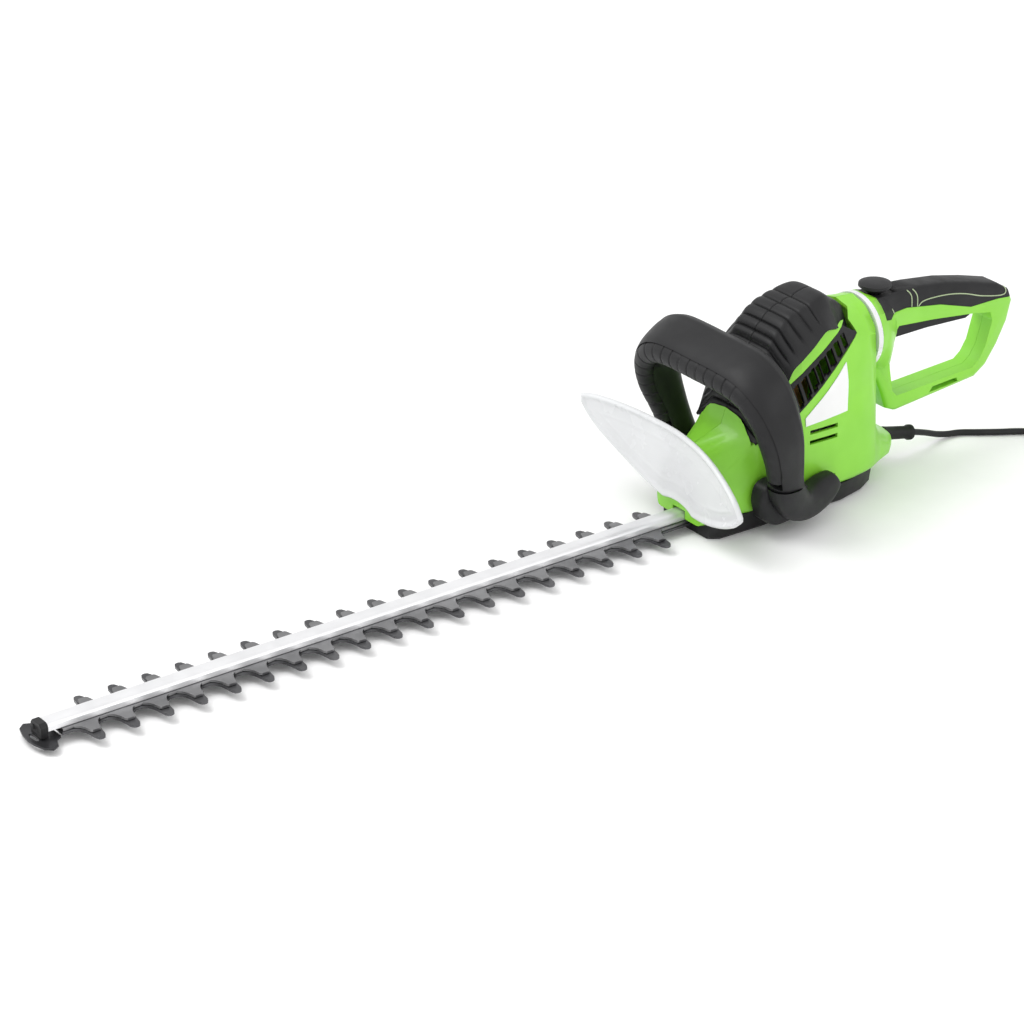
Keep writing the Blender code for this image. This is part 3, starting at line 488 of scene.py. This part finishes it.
def arch_frame(rows):
    """Centre, outward and backward directions of each row, leaned forward by its own angle."""
    centre = rows[:, :3]
    way = np.gradient(centre, axis=0)
    way /= np.linalg.norm(way, axis=1)[:, None]
    out = np.stack([-way[:, 2], np.zeros(len(way)), way[:, 0]], axis=1)
    out /= np.linalg.norm(out, axis=1)[:, None]
    rear = np.cross(out, way)
    rear *= np.sign(rear[:, 1])[:, None]
    lean = np.radians(rows[:, 5])[:, None]
    return centre, out * np.cos(lean) - rear * np.sin(lean), rear * np.cos(lean) + out * np.sin(lean)


def saddle_grid(rows_count=181, columns=112):
    """Leaned superellipse sections along the arch, one per row.

    A raised line runs along the outside: height times a bell curve of the angle. Where the bar lies,
    the front is pressed in to the round room that the bar needs at the end of its travel.
    """
    rows = smooth_rows(both_sides(SADDLE), rows_count)
    centre, out, rear = arch_frame(rows)
    angles = np.linspace(0, 2 * np.pi, columns, endpoint=False)
    c, s = superellipse(angles, 2.6)
    deep, thick, radius = rows[:, 3:4], rows[:, 4:5], rows[:, 6:7]
    u = deep * s
    v = thick * c
    beside = (angles - RAISED_LINE["angle"]) / RAISED_LINE["spread"]
    v = v + RAISED_LINE["height"] * np.exp(-(beside**2))
    room = radius + BAR_CLEARANCE
    inside = np.sqrt(np.maximum(room**2 - v**2, 0.0))
    floor_u = -(deep + BAR_PROUD - radius) + BAR_TRAVEL + inside
    held = (np.abs(rows[:, 2:3]) > BAR_LOW_Z) & (np.abs(v) < room) & (s < 0)
    u = np.where(held, np.maximum(u, floor_u), u)
    grid = centre[:, None] + out[:, None] * v[..., None] + rear[:, None] * u[..., None]
    grid[..., 2] = np.maximum(grid[..., 2], SEAM_Z + SEAM_GAP)
    return grid


def bar_grid(rows_count=520, columns=48):
    """A round bar in the front edge of the saddle.

    Its radius loses a bell-shaped groove at every step of the pitch, fading out past the last one
    towards the near leg, and both ends close as a quarter circle.
    """
    rows = smooth_rows(both_sides(SADDLE[:9]), rows_count)
    centre, out, rear = arch_frame(rows)
    radius = rows[:, 6]
    centre = centre - rear * (rows[:, 3] + BAR_PROUD - radius)[:, None]
    along = np.concatenate([[0.0], np.cumsum(np.linalg.norm(np.diff(centre, axis=0), axis=1))])
    beside = (along + GROOVE_PITCH / 2) % GROOVE_PITCH - GROOVE_PITCH / 2
    ringed = 1 / (1 + np.exp((rows[:, 0] - LAST_GROOVE_X) / GROOVE_FADE))
    radius = radius - ringed * (GROOVE_DEPTH * np.exp(-((beside / GROOVE_SPREAD) ** 2)))
    ends = np.minimum(along, along[-1] - along)
    radius = radius * np.sqrt(np.clip(1 - (1 - np.clip(ends / BAR_END, 0, 1)) ** 2, 0.02, 1))
    angles = np.linspace(0, 2 * np.pi, columns, endpoint=False)
    ring = out[:, None] * np.cos(angles)[:, None] + rear[:, None] * np.sin(angles)[:, None]
    return centre[:, None] + ring * radius[:, None, None]


tube_piece("front_handle_skin", saddle_grid(), CHARCOAL, "housing", "front_handle", 32)
tube_piece("switch_bar_ribs", bar_grid(), SOFT, "switch_bar", "switch_bar", 50)

# %% Handle feet
# %% [markdown]
# Below the seam each leg bends back and inward into a rounded foot that is screwed to the housing,
# with a flange under it. The foot is a tube along a bent middle line and the flange a stack of one
# outline that shrinks towards its outer face, which is simpler than filleting a plate.
FOOT = [
    (78, 671, 58, 15.5, 14),
    (75, 675, 44, 16, 14),
    (71.5, 683, 31, 16.5, 14),
    (68, 692, 22, 16, 14),
    (65, 703, 17, 15, 14),
    (62, 717, 17, 14.5, 13.5),
    (60, 732, 22, 14, 12),
    (59, 744, 28, 9, 9),
    (59, 747, 30, 2, 2),
]
WALL_X = 50.4


def foot_grid(sign, rows_count=70, columns=56):
    """Superellipse sections along the bent middle line: depth and thickness come from the station.

    The top is cut level at the seam and the inner side flat at the housing wall.
    """
    rows = smooth_rows(FOOT, rows_count)
    centre = rows[:, :3]
    way = np.gradient(centre, axis=0)
    way /= np.linalg.norm(way, axis=1)[:, None]
    out = np.array((1.0, 0.0, 0.0)) - way[:, :1] * way
    out /= np.linalg.norm(out, axis=1)[:, None]
    rear = np.cross(out, way)
    c, s = superellipse(np.linspace(0, 2 * np.pi, columns, endpoint=False), 2.5)
    deep, thick = rows[:, 3:4] * s, rows[:, 4:5] * c
    grid = centre[:, None] + out[:, None] * thick[..., None] + rear[:, None] * deep[..., None]
    grid[..., 2] = np.minimum(grid[..., 2], SEAM_Z - SEAM_GAP)
    grid[..., 0] = np.maximum(grid[..., 0], WALL_X) * sign
    return grid


PAD = [(660, 12), (656, 28), (660, 42), (672, 46), (690, 43), (712, 30), (712, 8), (690, 3), (672, 3)]
PAD_LAYERS = ((WALL_X, 0.0), (61.0, 0.0), (64.0, 0.6), (66.0, 2.0), (67.0, 5.0))


def pad_grid(sign, columns=72):
    """The flange: a smooth closed outline at each layer's x, drawn in towards its middle by its share."""
    outline = smooth_rows(PAD + PAD[:1], columns + 1)[:-1]
    middle = outline.mean(axis=0)
    inward = middle - outline
    inward /= np.linalg.norm(inward, axis=1)[:, None]
    rings = []
    for x, shrink in PAD_LAYERS:
        rings.append(np.column_stack([np.full(columns, sign * x), outline + inward * shrink]))
    return np.array(rings)


for side, sign in (("left", -1), ("right", 1)):
    foot = f"handle_foot_{side}"
    tube_piece(f"{foot}_skin", foot_grid(sign), CHARCOAL, "housing", foot, 45)
    tube_piece(f"{foot}_flange", pad_grid(sign), CHARCOAL, "housing", foot, 50)

# %% Motor hood
# %% [markdown]
# Each row runs from the middle of the hood over its shoulder to the lower edge. The rows are given by
# the middle point, the edge point and the half width; grooves are pressed in at set lengths along the
# middle line, and the panels between them stand out like pillows.
HOOD = [
    (665.6, 79, 666, 76, 41),
    (667.5, 99, 672, 80, 44),
    (674, 117, 679, 94, 46),
    (681.5, 134, 688, 113, 47.5),
    (694, 162, 700, 138, 48.5),
    (705, 174.5, 712, 147, 48.5),
    (716, 181.5, 725, 156, 48),
    (739, 187.5, 741, 167, 46),
    (757, 190.5, 758, 163.5, 40),
    (771, 182, 770, 159, 31.5),
    (784, 173, 783, 153, 26),
    (793, 163, 790, 157, 12),
]
HOOD_GROOVES = (11, 21, 31, 41, 51, 61, 71, 81, 91, 102, 114, 127, 140)
ACROSS = [(0, 0), (0.25, 0), (0.46, 0.03), (0.56, 0.12), (0.68, 0.36), (0.80, 0.58), (0.92, 0.82), (1, 1)]
HOOD_WALL = 2.4
HOOD_PRESS = ((1.6, 0.8), (1.0, 3.0))
PRESS_END = 0.86
PRESS_FADE = 0.03
SEAM_DEPTH = 0.7
SEAM_SPREAD = 0.5
HOOD_MIDDLE = np.array((0, 730, 110))


def hood_grid(rows_count=300, columns=64):
    """Half a hood, outer and inner skin, from the middle line (share 0) to the edge (share 1).

    Each pair of ACROSS gives the share of the half width and the share of the drop to the edge
    point. A groove is the sum of a narrow and a wide bell curve of the distance along the middle line,
    with the depths and spreads of HOOD_PRESS. It is pressed in along the normal and fades out near
    the edge; the seam is a bell curve of x.
    """
    rows = smooth_rows(HOOD, rows_count)
    mid, edge, half = rows[:, :2], rows[:, 2:4], rows[:, 4]
    along = np.concatenate([[0.0], np.cumsum(np.linalg.norm(np.diff(mid, axis=0), axis=1))])
    beside = np.min(np.abs(along[:, None] - np.array(HOOD_GROOVES)), axis=1)
    across = smooth_rows(ACROSS, columns)
    grid = np.zeros((rows_count, columns, 3))
    grid[..., 0] = half[:, None] * across[:, 0]
    grid[..., 1:] = mid[:, None] + (edge - mid)[:, None] * across[:, 1][None, :, None]
    normal = np.cross(np.gradient(grid, axis=1), np.gradient(grid, axis=0))
    normal /= np.linalg.norm(normal, axis=2)[..., None] + 1e-9
    normal *= np.where((normal * (grid - HOOD_MIDDLE)).sum(axis=2) < 0, -1.0, 1.0)[..., None]
    press = sum(depth * np.exp(-((beside / spread) ** 2)) for depth, spread in HOOD_PRESS)
    reach = 1 / (1 + np.exp((across[:, 0] - PRESS_END) / PRESS_FADE))
    seam = SEAM_DEPTH * np.exp(-((grid[..., 0] / SEAM_SPREAD) ** 2))
    outer = grid - normal * (press[:, None] * reach + seam)[..., None]
    return outer, outer - normal * HOOD_WALL


HALF_SEAM = 0.12
hood_outer, hood_inner = hood_grid()
for side, sign in (("left", -1), ("right", 1)):
    flip = np.array((sign, 1.0, 1.0))
    nudge = np.array((sign * HALF_SEAM, 0.0, 0.0))
    hood = f"motor_hood_{side}"
    outer, inner = hood_outer * flip + nudge, hood_inner * flip + nudge
    skin_piece(f"{hood}_panels", outer, inner, CHARCOAL, "housing", hood, 38)

# %% Vent strips
# %% [markdown]
# Each black strip beside the label has a row of open slots that lean with its front edge. The slots
# are cut once by closed four-sided bodies with a Boolean modifier, then the bodies go away. Cutting is
# the simplest way to an open slot with real wall edges.
VENT_CORNERS = np.array([(779, 168.5), (786, 150.8), (706, 93.8), (698, 121.6)])
VENT_SLOTS = np.linspace(0.10, 0.82, 8)
SLOT_HALF_WIDTH = 2.7
SLOT_TOP_MARGIN = 5.0
SLOT_LOW_MARGIN = 1.6
VENT_X = (36.0, 60.0)


def unit(vector):
    """The vector divided by its own length."""
    return vector / np.linalg.norm(vector)


def slot_cutter(share, sign):
    """A closed body through the strip at a share of its length, from the inner to the outer x."""
    top_rear, low_rear, low_front, top_front = VENT_CORNERS
    upper = top_front * (1 - share) + top_rear * share
    lower = low_front * (1 - share) + low_rear * share
    slant = unit(lower - upper)
    ahead = unit(top_rear - top_front) * SLOT_HALF_WIDTH
    upper, lower = upper + slant * SLOT_TOP_MARGIN, lower - slant * SLOT_LOW_MARGIN
    ring = np.array([upper - ahead, lower - ahead, lower + ahead, upper + ahead])
    grid = np.array([np.column_stack([np.full(4, x), ring]) for x in sorted(sign * x for x in VENT_X)])
    mesh = bpy.data.meshes.new("cutter")
    mesh.from_pydata(at(grid.reshape(-1, 3)).tolist(), [], tube_faces(2, 4))
    cutter = bpy.data.objects.new("cutter", mesh)
    bpy.context.scene.collection.objects.link(cutter)
    work = bmesh.new()
    work.from_mesh(mesh)
    bmesh.ops.recalc_face_normals(work, faces=work.faces)
    work.to_mesh(mesh)
    work.free()
    return cutter


def carve(obj, cutters):
    """Cuts closed bodies out of a piece, leaves the piece as a plain mesh and removes the bodies."""
    for cutter in cutters:
        modifier = obj.modifiers.new("carve", "BOOLEAN")
        modifier.object = cutter
    graph = bpy.context.evaluated_depsgraph_get()
    mesh = bpy.data.meshes.new_from_object(obj.evaluated_get(graph))
    obj.modifiers.clear()
    obj.data = mesh
    mesh.set_sharp_from_angle(angle=SHARP)
    for cutter in cutters:
        bpy.data.objects.remove(cutter, do_unlink=True)


for side, sign in (("left", -1), ("right", 1)):
    strip = softened(f"vent_{side}")
    carve(strip, [slot_cutter(share, sign) for share in VENT_SLOTS])
    print(strip.name, len(strip.data.polygons), "faces")

# %% Accent lines of the rear grip
# %% [markdown]
# The soft grip carries thin pale lines. Each runs through a few points (y, z) seen from the side and is
# dropped on to the grip by a ray along x, so it follows the surface whatever its curve.
ACCENT = finish("accent_line", (0.42, 0.52, 0.30), (0.50, 0.60, 0.38), (0.4, 0.5), depth=0.01)
ACCENTS = [
    [
        (877, 137.5),
        (882, 146),
        (890, 149.5),
        (915, 148.5),
        (938, 144),
        (962, 136),
        (988, 131),
        (991, 138),
        (981, 146),
    ],
    [(866.5, 164.5), (872, 157), (873, 143)],
    [(873.5, 164.0), (879, 156), (880, 144)],
    [(846.5, 152), (853.5, 142)],
]
LINE_RADIUS = 0.55
POINTS_PER_STATION = 14
RAY_START_X = 60.0

grip = nodes["rear_grip"]
grip_points = [grip.matrix_world @ vertex.co for vertex in grip.data.vertices]
grip_tree = BVHTree.FromPolygons(grip_points, [tuple(face.vertices) for face in grip.data.polygons])


def accent_line(name, points, sign):
    """A round line on one side of the grip, through the places that the rays along x hit."""
    way = []
    for y, z in smooth_rows(points, POINTS_PER_STATION * len(points)):
        start = Vector(at((sign * RAY_START_X, y, z)))
        place = grip_tree.ray_cast(start, Vector((-sign, 0, 0)))[0]
        if place:
            way.append(tuple(place))
    line = round_line(name, way, LINE_RADIUS, 2, ACCENT)
    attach(line, "rear_handle")
    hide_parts("rear_grip")
    print(name, len(way), "points")


for side, sign in (("left", -1), ("right", 1)):
    for number, points in enumerate(ACCENTS):
        accent_line(f"grip_line_{side}_{number + 1}", points, sign)

# %% Hand guard
# %% [markdown]
# The guard is a leaf of clear-white plastic: thin in the middle, with a round rim along both edges. A
# notch over the blade leaves room for the nose of the housing. Each station gives x, the top z and
# the lowest z, and the thickness is worked out from the distance to the nearest edge.
GUARD = [
    (-117.7, 87, 81),
    (-108, 89.5, 67),
    (-92, 90.5, 53),
    (-63, 90.5, 36),
    (-33, 89.5, 22.5),
    (0, 88, 14.5),
    (27, 84, 13),
    (48, 78.5, 15),
    (70, 70, 21.5),
    (90, 60, 31),
    (101, 51.5, 39),
    (106, 46.5, 43.5),
]
NOTCH_HALF = 30.0
NOTCH_FOOT = 5.0
NOTCH_RISE = 15.0
GUARD_FRONT_Y = 613.5
GUARD_BOW = 18.0
BOW_SPAN = 120.0
HALF_LEAF = 1.3
WEB = 1.1
RIM_HEIGHT = 2.0
RIM_WIDTH = 2.6
LINE_HEIGHT = 0.35
LINE_INSET = 17.0
LINE_SPREAD = 1.2


def guard_grid(rows_count=170, half_columns=56):
    """A closed leaf: the front face from top to bottom, then the back face from bottom to top.

    The notch is an arch of half an ellipse. Half the thickness is the web, plus a bell curve for the
    rim, plus a low bell curve for the inner line, all rounded to nothing at the very edge. The leaf
    bows forward with the square of x.
    """
    rows = smooth_rows(GUARD, rows_count)
    x, top, low = rows.T
    notch = NOTCH_FOOT + NOTCH_RISE * np.sqrt(np.clip(1 - (x / NOTCH_HALF) ** 2, 0, 1))
    low = np.where(np.abs(x) < NOTCH_HALF, np.maximum(low, notch), low)
    share = (1 - np.cos(np.linspace(0, np.pi, half_columns))) / 2
    z = top[:, None] + (low - top)[:, None] * share
    side = np.minimum(z - low[:, None], top[:, None] - z)
    ends = np.minimum(x - x[0], x[-1] - x)[:, None] + 0.01
    side = np.minimum(side, ends)
    rim = WEB + RIM_HEIGHT * np.exp(-(((side - RIM_WIDTH) / RIM_WIDTH) ** 2))
    rim = rim + LINE_HEIGHT * np.exp(-(((side - LINE_INSET) / LINE_SPREAD) ** 2))
    rim = rim * np.sqrt(np.clip(1 - (1 - np.clip(side / RIM_WIDTH, 0, 1)) ** 2, 0.0, 1))
    y = GUARD_FRONT_Y - GUARD_BOW * (x / BOW_SPAN) ** 2
    wide = np.broadcast_to(x[:, None], z.shape)
    front_face = np.stack([wide, y[:, None] - HALF_LEAF - rim, z], axis=-1)
    back_face = np.stack([wide, y[:, None] - HALF_LEAF + rim, z], axis=-1)
    return np.concatenate([front_face, back_face[:, -2:0:-1]], axis=1)


tube_piece("hand_guard_leaf", guard_grid(), MILKY, "housing", "hand_guard", 60)

# %% Studio
# %% [markdown]
# The tool stands on white paper under an even white sky. A square softbox from the front left gives the
# soft highlights along the rail and the hood, and a weaker one from the right opens the shadows.
bpy.ops.mesh.primitive_plane_add(size=12.0, location=(0, 0, -0.0002))
floor = bpy.context.object
floor.name = "studio_floor"
paper = finish("studio_paper", (0.95, 0.95, 0.95), (0.97, 0.97, 0.97), (0.8, 0.9), depth=0.01, shine=0.1)
floor.data.materials.append(paper)

world = bpy.data.worlds.new("studio_world")
bpy.context.scene.world = world
world.use_nodes = True
world.node_tree.nodes["Background"].inputs["Color"].default_value = (1.0, 1.0, 1.0, 1.0)
world.node_tree.nodes["Background"].inputs["Strength"].default_value = 0.95

SOFTBOX_SIDE = 1.4


def softbox(name, place, target, power):
    """A square area light at a place, aimed at a target."""
    light = bpy.data.lights.new(name, "AREA")
    light.shape = "RECTANGLE"
    light.size = SOFTBOX_SIDE
    light.size_y = SOFTBOX_SIDE
    light.energy = power
    obj = bpy.data.objects.new(name, light)
    bpy.context.scene.collection.objects.link(obj)
    obj.location = place
    obj.rotation_euler = (Vector(target) - Vector(place)).to_track_quat("-Z", "Y").to_euler()
    print(name, power, "W")


softbox("key_light", (-0.8, -1.2, 2.2), (0, 0.1, 0), 30.0)
softbox("fill_light", (2.2, 0.6, 1.4), (0, 0.2, 0.1), 10.0)
bpy.context.scene.view_settings.view_transform = "Standard"
